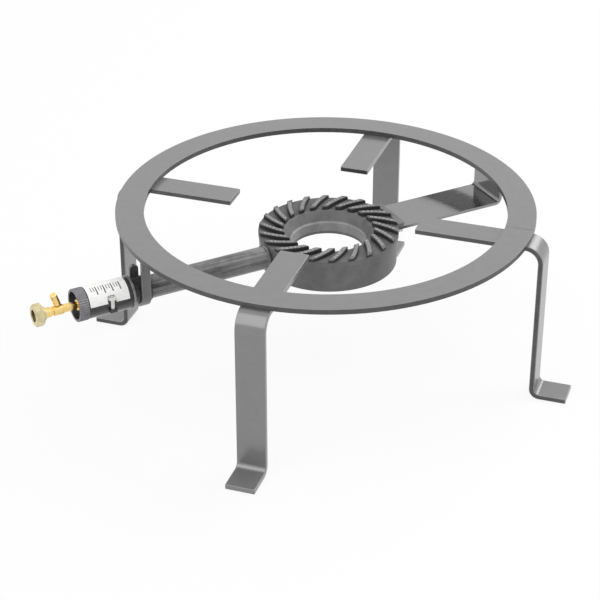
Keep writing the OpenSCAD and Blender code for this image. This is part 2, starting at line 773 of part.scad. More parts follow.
// The nut's outside: a hexagon with both ends turned down, and a round hub
module nut_blank() {
    corner = hex_r(nut_af);
    face_r = nut_af / 2 - nut_land;
    wide = corner + cut;
    rise = (wide - face_r) * tan(nut_chamfer);
    rod(nut_start, hex_start + cut, hub_r);
    intersection() {
        rotate([0, 0, nut_turn]) rod(hex_start, nut_end, corner, $fn = 6);
        rotate_extrude() polygon([[0, hex_start], [face_r, hex_start], [wide, hex_start + rise],
            [wide, nut_end - rise], [face_r, nut_end], [0, nut_end]]);
    }
}

module union_nut() {
    color("burlywood") on_inlet() difference() {
        nut_blank();
        rod(nut_start - cut, nut_end, nipple_r + run_gap);
        rod(nut_start + nut_back, nut_end - nut_bore_l, nut_bore_r + relief_depth);
        rod(nut_end - nut_bore_l - cut, nut_end + cut, nut_bore_r);
    }
}

pot_ring();
leg_right();
leg_rear();
leg_left();
leg_front();
bar_welds();
support_strap();
strap_weld();
lug_screws();
tube_hanger();
hanger_weld();
burner_bowl();
burner_crown();
bowl_screws();
mixing_tube();
mixer_housing();
housing_band();
label_sticker();
clamp_screw();
air_collar();
jet_holder();
gas_jet();
holder_nut();
tap_body();
tap_rotor();
tap_lever();
inlet_nipple();
inlet_washer();
union_nut();
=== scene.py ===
"""Looks of the outdoor gas burner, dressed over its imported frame.

Lengths here are millimetres, turned into metres by MM where a mesh or a node is made. The stage's
floor, card and lamps are given in metres.
"""

import json
import math

import bmesh
import bpy
from mathutils import Matrix, Vector

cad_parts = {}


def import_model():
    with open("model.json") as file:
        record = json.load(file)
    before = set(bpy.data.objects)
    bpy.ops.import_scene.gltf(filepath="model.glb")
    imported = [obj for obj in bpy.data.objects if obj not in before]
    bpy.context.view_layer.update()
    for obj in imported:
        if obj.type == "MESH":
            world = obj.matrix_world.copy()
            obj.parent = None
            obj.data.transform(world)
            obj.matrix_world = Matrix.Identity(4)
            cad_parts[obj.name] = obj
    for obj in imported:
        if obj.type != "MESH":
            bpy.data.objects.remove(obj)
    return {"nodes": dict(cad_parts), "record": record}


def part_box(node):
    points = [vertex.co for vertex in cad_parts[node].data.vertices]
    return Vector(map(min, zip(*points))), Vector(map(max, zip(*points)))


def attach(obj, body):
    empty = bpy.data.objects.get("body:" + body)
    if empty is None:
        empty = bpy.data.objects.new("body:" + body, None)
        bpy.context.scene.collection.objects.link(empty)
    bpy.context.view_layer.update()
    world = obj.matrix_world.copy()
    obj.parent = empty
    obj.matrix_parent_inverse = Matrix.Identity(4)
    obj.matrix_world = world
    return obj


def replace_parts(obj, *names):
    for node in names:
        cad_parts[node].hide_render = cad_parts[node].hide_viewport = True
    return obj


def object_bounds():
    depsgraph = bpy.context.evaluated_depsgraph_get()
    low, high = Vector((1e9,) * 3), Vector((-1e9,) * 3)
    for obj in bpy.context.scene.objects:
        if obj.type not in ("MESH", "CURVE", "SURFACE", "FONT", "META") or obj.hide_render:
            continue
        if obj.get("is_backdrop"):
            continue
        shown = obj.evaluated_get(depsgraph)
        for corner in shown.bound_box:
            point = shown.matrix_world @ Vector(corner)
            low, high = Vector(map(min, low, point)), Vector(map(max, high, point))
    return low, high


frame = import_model()
cad_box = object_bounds()

MM = 0.001
NODES = frame["nodes"]
RECORD = frame["record"]
BODY_OF = {node: body for body, nodes in RECORD["behaviour"]["bodies"].items() for node in nodes}

# The camera, at the photograph's distance and angle
CAMERA_AT = (473.4, -1491.9, 965.9)
CAMERA_TURN = 18.5
CAMERA_DOWN = 30
CAMERA_LENS = 110.46

# The gas inlet's line, and the strap's, as compass angles from +X
INLET_AZ = 226.6
STRAP_AZ = 46.6
AXIS_Z = 127

# A bar's sheared inner end lies nearer the middle than this
BAR_END_R = 94

# The cast crown
BURNER_SHIFT = 3.4
RIM_Z = 140
CROWN_R = 67.6
RIM_H = 5
DISH_R = 66.2
DISH = 1.2
CROWN_WALL = 4
HOLE_R = 35
SKIRT_WALL = 3.5
SKIRT_Z = 119.5
LIP_Z = 129.4
LAND_R = 62.8
LAND_GAP = 0.2
LAND_STEP = 0.05
RIB_N = 22
RIB_W = 5.2
RIB_TOP = 143.4
RIB_FROM = 14
RIB_LAND = 1.2
RIB_IN_R = 43.5
RIB_OUT_R = 67.2
RIB_ROUND = 1.3
RIB_SLANT = 37
RIB_ROOT = 1.2
RIB_STEPS = 40
RIB_END_W = 0.72  # share of its width that a rib keeps at its ends
RIB_TOP_FACES = range(3, 9)  # places in a rib's section whose faces make up its top
PORT_N = 6
PORT_R = 0.85
PORT_DEPTH = 3
PORT_SIDES = 16
PORT_FIRST_SHARE = 0.12
PORT_LAST_SHARE = 0.78
LUG_W = 49
LUG_END = 74.4
LUG_TOP = 141.2
LUG_T = 4.5
LUG_ROUND = 2.2
LUG_INSET = 1.4
LUG_CUT_H = 20
LUG_CUT_SIDES = 120
LIP_FALL = 1  # the hole's lip: its height, its width, and the width that is coloured lighter
LIP_RISE = 1.6
LIP_PALE = 1.8
CROWN_ROUND = 0.5
CROWN_TURNS = 160

# The crown's material slots
CROWN_SLOT, RIB_SLOT, PORT_SLOT, SHADED_FLANK_SLOT, LIP_SLOT, SHADED_GROOVE_SLOT = range(6)

# The label on the mixer housing
HOUSING_R = 15
LABEL_T = 0.3
TICK_N = 12
TICK_FROM = 217
TICK_STEP = 2.5
TICK_LONG = (138, 1.0)
TICK_SHORT = (152, 0.6)
TICK_END = 172
TICK_SUNK = 0.05
TICK_PROUD = 0.1

# Weld beads under the ring
BEAD = 2.5
RIPPLE = 1.6
BAR_WELD_FROM = 175.5
STRAP_WELD_AT = 196
STRAP_WELD_HALF = 20.5
HANGER_WELD_AT = 194.5
HANGER_WELD_SIDE = 15.65
HANGER_WELD_HALF = 3.25

# The screws' cross recess: length, width and full height of its cutters
RECESS = (4.2, 0.9, 2.4)
RECESS_TURNS = (20, 110)
HEAD_LEVEL = 0.1  # a head's underside is level to within this

# A CAD node's points nearer than this are one, and faces level to within this angle are one
MERGE = 0.002
LEVEL_ANGLE = 0.6

INLET = (
    Matrix.Translation((0, 0, AXIS_Z * MM))
    @ Matrix.Rotation(math.radians(INLET_AZ), 4, "Z")
    @ Matrix.Rotation(math.radians(90), 4, "Y")
)
STRAP = Matrix.Rotation(math.radians(STRAP_AZ), 4, "Z")
BURNER = Matrix.Translation(STRAP @ Vector((BURNER_SHIFT * MM, 0, 0)))


# Node materials

class Look:
    """A material with one Principled shader and short calls for the nodes that feed it."""

    def __init__(self, name, **sockets):
        self.material = bpy.data.materials.new(name)
        self.material.use_nodes = True
        self.tree = self.material.node_tree
        self.shader = self.tree.nodes["Principled BSDF"]
        for socket, value in sockets.items():
            self.shader.inputs[socket.replace("_", " ")].default_value = value

    def node(self, kind, **settings):
        made = self.tree.nodes.new(kind)
        for name, value in settings.items():
            setattr(made, name, value)
        return made

    def link(self, source, target):
        self.tree.links.new(source, target)

    def place(self, stretch=(1, 1, 1), turn=0):
        """Coordinates in millimetres, turned about Z by degrees, then stretched."""
        at = self.node("ShaderNodeTexCoord")
        spin = self.node("ShaderNodeMapping", vector_type="TEXTURE")
        spin.inputs["Rotation"].default_value[2] = math.radians(turn)
        scale = self.node("ShaderNodeMapping")
        scale.inputs["Scale"].default_value = [1 / (MM * s) for s in stretch]
        self.link(at.outputs["Object"], spin.inputs["Vector"])
        self.link(spin.outputs["Vector"], scale.inputs["Vector"])
        return scale.outputs["Vector"]

    def noise(self, grain, detail=4, rough=0.55, at=None):
        """Noise whose lumps are about grain millimetres across."""
        made = self.node("ShaderNodeTexNoise")
        made.inputs["Scale"].default_value = 1 / grain
        made.inputs["Detail"].default_value = detail
        made.inputs["Roughness"].default_value = rough
        self.link(at or self.place(), made.inputs["Vector"])
        return made.outputs["Fac"]

    def cells(self, grain):
        """Distance inside cells about grain millimetres across."""
        made = self.node("ShaderNodeTexVoronoi")
        made.inputs["Scale"].default_value = 1 / grain
        self.link(self.place(), made.inputs["Vector"])
        return made.outputs["Distance"]

    def ramp(self, source, *stops):
        """Colour of the source by (place, colour) stops."""
        made = self.node("ShaderNodeValToRGB")
        band = made.color_ramp.elements
        while len(band) < len(stops):
            band.new(0.5)
        for element, (place, colour) in zip(band, stops):
            element.position = place
            element.color = tuple(colour) + (1,)
        self.link(source, made.inputs["Fac"])
        return made.outputs["Color"]

    def sum(self, *parts):
        """Weighted sum of (source, weight) pairs."""
        total = None
        for source, weight in parts:
            scaled = self.node("ShaderNodeMath", operation="MULTIPLY_ADD")
            self.link(source, scaled.inputs[0])
            scaled.inputs[1].default_value = weight
            scaled.inputs[2].default_value = 0
            if total is not None:
                self.link(total, scaled.inputs[2])
            total = scaled.outputs[0]
        return total

    def colour(self, source):
        self.link(source, self.shader.inputs["Base Color"])
        return self

    def roughness(self, source, low, high):
        made = self.node("ShaderNodeMapRange")
        made.inputs["To Min"].default_value = low
        made.inputs["To Max"].default_value = high
        self.link(source, made.inputs["Value"])
        self.link(made.outputs["Result"], self.shader.inputs["Roughness"])
        return self

    def bump(self, source, height):
        """Bump of that height in millimetres."""
        made = self.node("ShaderNodeBump")
        made.inputs["Strength"].default_value = 1.0
        made.inputs["Distance"].default_value = height * MM
        self.link(source, made.inputs["Height"])
        self.link(made.outputs["Normal"], self.shader.inputs["Normal"])
        return self


def enamel(name, tone, rough=0.14, mottle=0.05, streak_turn=0, metal=0.9):
    """Smooth grey metallic enamel: faint mill lines, soft mottle and orange peel."""
    look = Look(name, Metallic=metal, Coat_Weight=0.1, Coat_Roughness=0.2)
    mottled = look.noise(9, 5, 0.6)
    fine = look.noise(0.9, 3, 0.6)
    lines = look.noise(1.4, 3, 0.5, look.place((18, 1, 1), streak_turn))
    blend = look.sum((mottled, 0.5), (fine, 0.2), (lines, 0.3))
    low = [c * (1 - mottle) for c in tone]
    high = [c * (1 + mottle) for c in tone]
    look.colour(look.ramp(blend, (0.35, low), (0.65, high)))
    look.roughness(blend, rough - 0.05, rough + 0.1)
    return look.bump(look.sum((fine, 0.5), (mottled, 1.0)), 0.03).material


def cast_iron(name, low, high, rough=0.5, grain=0.9, height=0.12):
    """Sand-cast skin: grains, pits and soft waves under a thin dark paint."""
    look = Look(name, Specular_IOR_Level=0.5)
    wave = look.noise(14, 3)
    sand = look.noise(grain, 5, 0.7)
    pits = look.cells(grain * 2.2)
    blend = look.sum((wave, 0.45), (sand, 0.55))
    middle = [(a + b) / 2 for a, b in zip(low, high)]
    look.colour(look.ramp(blend, (0.32, low), (0.52, middle), (0.7, high)))
    look.roughness(blend, rough - 0.12, rough + 0.18)
    return look.bump(look.sum((sand, 1.0), (pits, 0.35), (wave, 1.4)), height).material


def lacquer(name, low, high, turn, rough=0.28, stretch=22):
    """Dark lacquer on drawn tube, with streaks along the tube painted in as reflections."""
    look = Look(name, Coat_Weight=0.35, Coat_Roughness=0.14, Specular_IOR_Level=0.5)
    painted_reflection_streak = look.noise(2.2, 4, 0.6, look.place((stretch, 1, 1), turn))
    patch = look.noise(8, 3)
    fine = look.noise(0.6, 3)
    blend = look.sum((painted_reflection_streak, 0.75), (patch, 0.25))
    look.colour(look.ramp(blend, (0.36, low), (0.66, high)))
    look.roughness(blend, rough - 0.1, rough + 0.16)
    return look.bump(look.sum((painted_reflection_streak, 1.0), (fine, 0.3)), 0.06).material


def turned_metal(name, tone, rough=0.22, spread=0.12, lines=0.35):
    """Turned or milled metal: fine tool lines round the inlet's axis, a little tarnish."""
    look = Look(name, Metallic=1.0)
    ring_lines = look.noise(lines, 2, 0.5, look.place((1, 30, 30), INLET_AZ))
    tarnish = look.noise(4, 4, 0.6)
    blend = look.sum((ring_lines, 0.35), (tarnish, 0.65))
    low = [c * (1 - spread) for c in tone]
    high = [min(1, c * (1 + spread * 0.6)) for c in tone]
    look.colour(look.ramp(blend, (0.35, low), (0.65, high)))
    look.roughness(blend, rough - 0.06, rough + 0.14)
    return look.bump(ring_lines, 0.02).material


def plated(name, tone, rough=0.3):
    """Bright zinc plate with faint crystals."""
    look = Look(name, Metallic=1.0)
    grain = look.noise(1.2, 4, 0.6)
    look.colour(look.ramp(grain, (0.35, [c * 0.85 for c in tone]), (0.65, tone)))
    look.roughness(grain, rough - 0.08, rough + 0.12)
    return look.bump(grain, 0.02).material


def film(name, tone):
    """Satin white film, a little wavy where it was rubbed down."""
    look = Look(name, Specular_IOR_Level=0.4)
    wave = look.noise(5, 3)
    fibre = look.noise(0.4, 2)
    blend = look.sum((wave, 0.7), (fibre, 0.3))
    look.colour(look.ramp(blend, (0.35, [c * 0.94 for c in tone]), (0.6, tone)))
    look.roughness(wave, 0.38, 0.5)
    return look.bump(wave, 0.08).material


def ink(name, tone):
    """Matt black print."""
    look = Look(name, Specular_IOR_Level=0.3)
    grain = look.noise(0.5, 3)
    look.colour(look.ramp(grain, (0.4, tone), (0.7, [c * 1.8 for c in tone])))
    look.roughness(grain, 0.5, 0.7)
    return look.material


def rubber(name, tone):
    """Matt black rubber."""
    look = Look(name, Specular_IOR_Level=0.3)
    grain = look.noise(0.7, 4)
    look.colour(look.ramp(grain, (0.4, tone), (0.7, [c * 1.5 for c in tone])))
    look.roughness(grain, 0.6, 0.8)
    return look.bump(grain, 0.03).material


STEEL = enamel("stand_enamel", (0.228, 0.228, 0.23), rough=0.2, metal=0.5)
# A lighter, rougher copy of the stand's enamel for the rounded edges: a painted edge highlight.
STEEL_EDGE_HIGHLIGHT = enamel("stand_enamel_edge_highlight", (0.235, 0.235, 0.237), rough=0.36, metal=0.5)
# A darker copy of the stand's enamel for the hanger: painted shade under the ring.
HOOK_SHADED_STEEL = enamel("hook_enamel_painted_shade", (0.165, 0.165, 0.166), rough=0.22, metal=0.5)
STRAP_STEEL = enamel("strap_enamel", (0.27, 0.27, 0.27), rough=0.1, streak_turn=STRAP_AZ)
# Darker enamel for cut ends and for faces turned to the front: partly a cut edge's own dark, partly painted
# shade.
CUT_AND_SHADE_STEEL = enamel("cut_end_and_painted_shade_enamel", (0.085, 0.085, 0.086), rough=0.35, mottle=0.25, metal=0.5)
WELD = enamel("weld_enamel", (0.22, 0.22, 0.222), rough=0.42, mottle=0.2)
IRON = cast_iron("cast_bowl_iron", (0.08, 0.08, 0.081), (0.17, 0.17, 0.171), rough=0.4)
# A lighter copy of the bowl's iron for its rounded edges: a painted edge highlight.
IRON_EDGE_HIGHLIGHT = cast_iron("cast_bowl_edge_highlight", (0.15, 0.15, 0.151), (0.25, 0.25, 0.25), rough=0.4)
CROWN_IRON = cast_iron("cast_crown_iron", (0.08, 0.08, 0.081), (0.2, 0.2, 0.2), rough=0.5)
# Near-black iron on the ribs' flanks and ends: painted shade beside the ribs.
FLANK_SHADE_IRON = cast_iron("cast_rib_flank_painted_shade", (0.008, 0.008, 0.008), (0.03, 0.03, 0.03), rough=0.6, grain=0.6)
RIB_IRON = cast_iron("cast_rib_iron", (0.07, 0.07, 0.07), (0.22, 0.22, 0.218), rough=0.5, grain=0.6)
# Darker iron on the dish between the ribs: painted shade in the grooves.
GROOVE_SHADE_IRON = cast_iron("groove_painted_shade_iron", (0.04, 0.04, 0.04), (0.15, 0.15, 0.15), rough=0.5, grain=0.7)
LIP_IRON = cast_iron("pale_lip_iron", (0.16, 0.16, 0.16), (0.34, 0.34, 0.338), rough=0.45)
# Bright metal on the port rims: partly bare drilled metal, partly a painted highlight.
PORT_RIM_HIGHLIGHT = plated("drilled_port_rim_highlight", (0.66, 0.66, 0.65), 0.36)
# Its light and dark streaks along the tube are painted reflections.
TUBE_LACQUER_REFLECTIONS = lacquer("tube_lacquer_painted_reflections", (0.03, 0.03, 0.031), (0.21, 0.21, 0.21), INLET_AZ)
BLACK = lacquer("housing_lacquer", (0.01, 0.01, 0.011), (0.03, 0.03, 0.031), INLET_AZ, 0.2, 6)
# Grey plate on the housing's band, lighter than the black housing: partly the band's own tone, partly a
# painted highlight on the shoulder.
BAND_AND_HIGHLIGHT = plated("band_plate_highlight", (0.30, 0.30, 0.30), 0.3)
SCREW_PLATE = plated("screw_plate", (0.72, 0.72, 0.70))
PAPER = film("label_film", (0.93, 0.93, 0.92))
INK = ink("label_ink", (0.05, 0.05, 0.05))
COLLAR = turned_metal("collar_alloy", (0.21, 0.21, 0.22), 0.36, 0.25)
BRASS = turned_metal("bright_brass", (0.90, 0.66, 0.26))
NUT_BRASS = turned_metal("nut_brass", (0.70, 0.62, 0.37), 0.3, 0.3, 0.8)
RUBBER = rubber("seal_rubber", (0.02, 0.02, 0.02))


# Meshes

def settle(bm, name, node, materials, crease=32, bevel=0, steps=2, edge_slot=None):
    """Turns a bmesh into a piece that stands for a CAD node and rides on its body.

    Edges sharper than crease degrees stay sharp, or are rounded by bevel millimetres.
    """
    bmesh.ops.recalc_face_normals(bm, faces=bm.faces)
    mesh = bpy.data.meshes.new(name)
    bm.to_mesh(mesh)
    bm.free()
    piece = bpy.data.objects.new(name, mesh)
    bpy.context.scene.collection.objects.link(piece)
    for material in materials:
        mesh.materials.append(material)
    mesh.shade_smooth()
    if bevel:
        round_off = piece.modifiers.new("rounded_edges", "BEVEL")
        round_off.width = bevel * MM
        round_off.segments = steps
        round_off.limit_method = "ANGLE"
        round_off.angle_limit = math.radians(crease)
        round_off.harden_normals = False
        if edge_slot is not None:
            round_off.material = edge_slot
        even = piece.modifiers.new("even_faces", "WEIGHTED_NORMAL")
        even.keep_sharp = True
    else:
        mesh.set_sharp_from_angle(angle=math.radians(crease))
    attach(piece, BODY_OF[node])
    return piece


def copy_of(node):
    """The CAD node's mesh as clean faces, without its triangles."""
    bm = bmesh.new()
    bm.from_mesh(NODES[node].data)
    bmesh.ops.remove_doubles(bm, verts=bm.verts, dist=MERGE * MM)
    bmesh.ops.dissolve_limit(bm, angle_limit=math.radians(LEVEL_ANGLE), verts=bm.verts, edges=bm.edges)
    return bm


def dress(node, material, bevel=0.5, edge=None, steps=2, crease=32, darkened=None):
    """The CAD piece with its edges rounded as rolled, cast or turned edges are.

    Faces that the given test picks take a darker look: on cut ends partly their own dark and partly painted
    shade, on sides turned to the front painted shade only.
    """
    materials = [material] + ([edge] if edge else []) + ([CUT_AND_SHADE_STEEL] if darkened else [])
    bm = copy_of(node)
    for face in bm.faces:
        if darkened and darkened(face):
            face.material_index = len(materials) - 1
    piece = settle(bm, f"{node}_finish", node, materials, crease, bevel, steps, 1 if edge else None)
    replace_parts(piece, node)
    return piece


def move(bm, matrix):
    bmesh.ops.transform(bm, matrix=matrix, verts=bm.verts)


def turned(radius, angle, height):
    """The point at a radius and a height in millimetres and an angle in radians, in metres."""
    return Vector((radius * math.cos(angle) * MM, radius * math.sin(angle) * MM, height * MM))


def strip(bm, loops, slot_of, closed=False):
    """Joins loops of vertices in turn with faces, whose slot is slot_of(place in the loop)."""
    after = loops[1:] + (loops[:1] if closed else [])
    for one, two in zip(loops, after):
        for j in range(len(one)):
            k = (j + 1) % len(one)
            bm.faces.new((one[j], one[k], two[k], two[j])).material_index = slot_of(j)


def lathe(bm, outline, turns):
    """Revolves a closed outline of (radius, height) round Z."""
    rings = []
    for i in range(turns):
        a = 2 * math.pi * i / turns
        rings.append([bm.verts.new(turned(r, a, z)) for r, z in outline])
    strip(bm, rings, lambda j: CROWN_SLOT, closed=True)


def rounded(outline, radius, steps=3):
    """The outline with each corner cut to a small arc."""
    out = []
    n = len(outline)
    for i in range(n):
        here = Vector(outline[i])
        before = Vector(outline[i - 1]) - here
        after = Vector(outline[(i + 1) % n]) - here
        reach = min(radius, before.length / 2.5, after.length / 2.5)
        start = here + before.normalized() * reach
        end = here + after.normalized() * reach
        for k in range(steps + 1):
            t = k / steps
            out.append(tuple(start * (1 - t) ** 2 + here * 2 * t * (1 - t) + end * t ** 2))
    return out


def dish_z(r):
    """Height of the dish between the ribs."""
    return RIM_Z - DISH * (DISH_R - r) / (DISH_R - RIB_IN_R)


def rib_az(r):
    """How far a rib has swept from its inner end, in radians."""
    return -math.tan(math.radians(RIB_SLANT)) * math.log(r / RIB_IN_R)


def rib_turn(i):
    """Angle of a rib's inner end, in radians."""
    return math.radians(RIB_FROM + 360 * i / RIB_N)


def add_rib(bm, turn):
    """One swept rib, a closed solid with a level rounded top and blunt ends.

    Its section is a row of (share of the half width, drop from the top), and None is its root.
    """
    half_section = [
        (-1.0, None), (-1.0, 1.25), (-0.96, 0.7), (-0.85, 0.28), (-0.66, 0.06), (-0.33, 0.0)]
    section = half_section + [(0.0, 0.0)] + [(-across, drop) for across, drop in reversed(half_section)]
    span = RIB_OUT_R - RIB_IN_R
    loops = []
    for i in range(RIB_STEPS + 1):
        share = 0.5 - 0.5 * math.cos(math.pi * i / RIB_STEPS)
        r = RIB_IN_R + span * share
        end = min(1.0, min(share, 1 - share) * span / RIB_ROUND)
        rise = math.sqrt(1 - (1 - end) ** 2)
        top = RIB_TOP - RIB_ROUND * (1 - rise)
        half = RIB_W / 2 / math.cos(math.radians(RIB_SLANT)) / r * (RIB_END_W + (1 - RIB_END_W) * rise)
        loop = []
        for across, drop in section:
            a = turn + rib_az(r) + across * half
            z = dish_z(r) - RIB_ROOT if drop is None else top - drop
            loop.append(bm.verts.new(turned(r, a, z)))
        loops.append(loop)
    # The rib's flanks and blunt ends take the near-black slot: painted shade.
    strip(bm, loops, lambda j: RIB_SLOT if j in RIB_TOP_FACES else SHADED_FLANK_SLOT)
    bm.faces.new(loops[0]).material_index = SHADED_FLANK_SLOT
    bm.faces.new(list(reversed(loops[-1]))).material_index = SHADED_FLANK_SLOT


def port_places():
    """Middle of every flame port, with its height on the rib's top."""
    length = CROWN_R - RIB_IN_R
    step = length * (PORT_LAST_SHARE - PORT_FIRST_SHARE) / (PORT_N - 1)
    for i in range(RIB_N):
        turn = rib_turn(i)
        for k in range(PORT_N):
            r = RIB_IN_R + length * PORT_FIRST_SHARE + k * step
            a = turn + rib_az(r)
            yield Vector((r * math.cos(a), r * math.sin(a), RIB_TOP))


def drill(bm, at):
    """A port's cutter, from 1 mm above the rib's top down to the port's depth."""
    bmesh.ops.create_cone(
        bm, cap_ends=True, segments=PORT_SIDES, radius1=PORT_R * MM, radius2=PORT_R * MM,
        depth=(1 + PORT_DEPTH) * MM,
        matrix=Matrix.Translation(Vector((at.x, at.y, at.z + (1 - PORT_DEPTH) / 2)) * MM))


def port_rim(bm, at):
    """A thin countersunk ring round a port, bright partly as bare drilled metal and partly as a painted
    highlight.
    """
    outline = [
        (PORT_R - 0.1, -0.9), (PORT_R - 0.04, -0.3), (PORT_R + 0.15, 0.03), (PORT_R + 0.35, 0.06),
        (PORT_R + 0.5, -0.1), (PORT_R + 0.4, -0.5), (PORT_R + 0.1, -0.95)]
    rings = []
    for i in range(PORT_SIDES):
        a = 2 * math.pi * i / PORT_SIDES
        rings.append([bm.verts.new(at * MM + turned(r, a, z)) for r, z in outline])
    strip(bm, rings, lambda j: PORT_SLOT, closed=True)


def cut_away(bm, cutter):
    """bm with cutter taken out of it, through Blender's boolean."""
    objects = []
    for name, source in (("cut_body", bm), ("cut_tool", cutter)):
        bmesh.ops.recalc_face_normals(source, faces=source.faces)
        mesh = bpy.data.meshes.new(name)
        source.to_mesh(mesh)
        source.free()
        objects.append(bpy.data.objects.new(name, mesh))
        bpy.context.scene.collection.objects.link(objects[-1])
    body, tool = objects
    for _ in range(SHADED_FLANK_SLOT + 1):
        body.data.materials.append(None)
    difference = body.modifiers.new("cut", "BOOLEAN")
    difference.operation = "DIFFERENCE"
    difference.object = tool
    difference.solver = "EXACT"
    bpy.context.view_layer.update()
    result = bmesh.new()
    result.from_object(body, bpy.context.evaluated_depsgraph_get())
    for made in objects:
        bpy.data.objects.remove(made)
    return result


def crown():
    """The cast crown: dished ring, sleeve, lug, slanting ribs and drilled ports."""
    outline = [
        (HOLE_R, SKIRT_Z), (HOLE_R, LIP_Z - LIP_FALL), (HOLE_R + LIP_RISE, LIP_Z),
        (RIB_IN_R - RIB_LAND, RIM_Z - DISH), (RIB_IN_R, RIM_Z - DISH),
        (DISH_R, RIM_Z), (CROWN_R, RIM_Z), (CROWN_R, RIM_Z - RIM_H), (LAND_R - LAND_GAP, RIM_Z - RIM_H),
        (LAND_R - LAND_GAP, RIM_Z - RIM_H - LAND_STEP), (RIB_IN_R, RIM_Z - DISH - CROWN_WALL),
        (HOLE_R + SKIRT_WALL, LIP_Z - CROWN_WALL), (HOLE_R + SKIRT_WALL, SKIRT_Z)]
    bm = bmesh.new()
    for i in range(RIB_N):
        add_rib(bm, rib_turn(i))
    drills = bmesh.new()
    for place in port_places():
        drill(drills, place)
    bm = cut_away(bm, drills)
    for place in port_places():
        port_rim(bm, place)
    lathe(bm, rounded(outline, CROWN_ROUND), CROWN_TURNS)
    for face in bm.faces:
        middle = face.calc_center_median()
        out = math.hypot(middle.x, middle.y) / MM
        if out < HOLE_R + LIP_PALE:
            face.material_index = LIP_SLOT
        # The dish between the ribs takes the darker groove slot: painted shade.
        elif out > RIB_IN_R and middle.z > (RIM_Z - DISH) * MM and face.material_index == CROWN_SLOT:
            face.material_index = SHADED_GROOVE_SLOT
    move(bm, BURNER)
    lug = bmesh.new()
    inner = math.sqrt(CROWN_R ** 2 - LUG_W ** 2 / 4) - LUG_INSET + BURNER_SHIFT
    bmesh.ops.create_cube(lug, size=1, matrix=(
        STRAP @ Matrix.Translation(Vector(((inner + LUG_END) / 2, 0, LUG_TOP - LUG_T / 2)) * MM)
        @ Matrix.Diagonal(((LUG_END - inner) * MM, LUG_W * MM, LUG_T * MM, 1))))
    edges = [e for e in lug.edges if abs((e.verts[0].co - e.verts[1].co).z) > LUG_T * MM / 2]
    bmesh.ops.bevel(lug, geom=edges, offset=LUG_ROUND * MM, segments=4, affect="EDGES", profile=0.5)
    tool = bmesh.new()
    bmesh.ops.create_cone(
        tool, cap_ends=True, segments=LUG_CUT_SIDES, radius1=DISH_R * MM, radius2=DISH_R * MM,
        depth=LUG_CUT_H * MM, matrix=BURNER @ Matrix.Translation((0, 0, LUG_TOP * MM)))
    lug = cut_away(lug, tool)
    mesh = bpy.data.meshes.new("lug")
    lug.to_mesh(mesh)
    lug.free()
    bm.from_mesh(mesh)
    bpy.data.meshes.remove(mesh)
    piece = settle(bm, "crown_casting", "burner_crown", [
        CROWN_IRON, RIB_IRON, PORT_RIM_HIGHLIGHT, FLANK_SHADE_IRON, LIP_IRON, GROOVE_SHADE_IRON], crease=40)
    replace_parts(piece, "burner_crown")


def bead(bm, start, end, outward):
    """A rippled weld bead between two points, with its corner on the line between them."""
    run = end - start
    steps = max(6, int(run.length / (RIPPLE * MM) * 5))
    along = run.normalized()
    down = outward.cross(along).normalized()
    if down.z > 0:
        down = -down
    loops = []
    for i in range(steps + 1):
        t = i / steps
        taper = min(1, 4 * t + 0.35, 4 * (1 - t) + 0.35)
        swell = taper * (1 + 0.13 * math.sin(t * run.length / (RIPPLE * MM) * 2 * math.pi)
                         + 0.05 * math.sin(t * run.length / MM * 0.83))
        at = start + run * t
        loop = [bm.verts.new(at - outward * 0.2 * MM - down * 0.2 * MM)]
        for k in range(7):
            a = math.radians(90) * k / 6
            reach = BEAD * MM * swell * (0.78 + 0.1 * math.sin(2 * a))
            loop.append(bm.verts.new(at + outward * reach * math.cos(a) + down * reach * math.sin(a)))
        loops.append(loop)
    strip(bm, loops, lambda j: 0)
    bm.faces.new(loops[0])
    bm.faces.new(list(reversed(loops[-1])))


def welds():
    """Rippled beads in place of the CAD's plain fillets."""
    low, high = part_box("bar_welds")
    under = high[2]
    half_bar = (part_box("leg_front")[1][0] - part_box("leg_front")[0][0]) / 2
    bars = bmesh.new()
    for i in range(4):
        turn = Matrix.Rotation(math.radians(90 * i), 4, "Z")
        for side in (-1, 1):
            start = turn @ Vector((BAR_WELD_FROM * MM, side * half_bar, under))
            end = turn @ Vector((high[0], side * half_bar, under))
            bead(bars, start, end, turn.to_3x3() @ Vector((0, side, 0)))

    strap = bmesh.new()
    at, half = STRAP_WELD_AT * MM, STRAP_WELD_HALF * MM
    bead(strap, STRAP @ Vector((at, -half, under)), STRAP @ Vector((at, half, under)),
         STRAP.to_3x3() @ Vector((1, 0, 0)))

    hanger = bmesh.new()
    out = INLET.to_3x3() @ Vector((0, 1, 0))
    across = INLET.to_3x3() @ Vector((0, 0, HANGER_WELD_HALF * MM))
    centre = INLET @ Vector(((AXIS_Z * MM - under), HANGER_WELD_SIDE * MM, HANGER_WELD_AT * MM))
    bead(hanger, centre - across, centre + across, out)

    for bm, name, node in ((bars, "bar_weld_beads", "bar_welds"),
                           (strap, "strap_weld_bead", "strap_weld"),
                           (hanger, "hanger_weld_bead", "hanger_weld")):
        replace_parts(settle(bm, name, node, [WELD], crease=60), node)


def arc_block(bm, inner, outer, start, end, near, far, steps=12):
    """A curved block round Z between two radii, two angles in degrees and two heights."""
    corners = ((inner, near), (outer, near), (outer, far), (inner, far))
    loops = []
    for i in range(steps + 1):
        a = math.radians(start + (end - start) * i / steps)
        loops.append([bm.verts.new(turned(r, a, z)) for r, z in corners])
    strip(bm, loops, lambda j: 0)
    for loop in (loops[0], loops[-1]):
        bm.faces.new(loop)


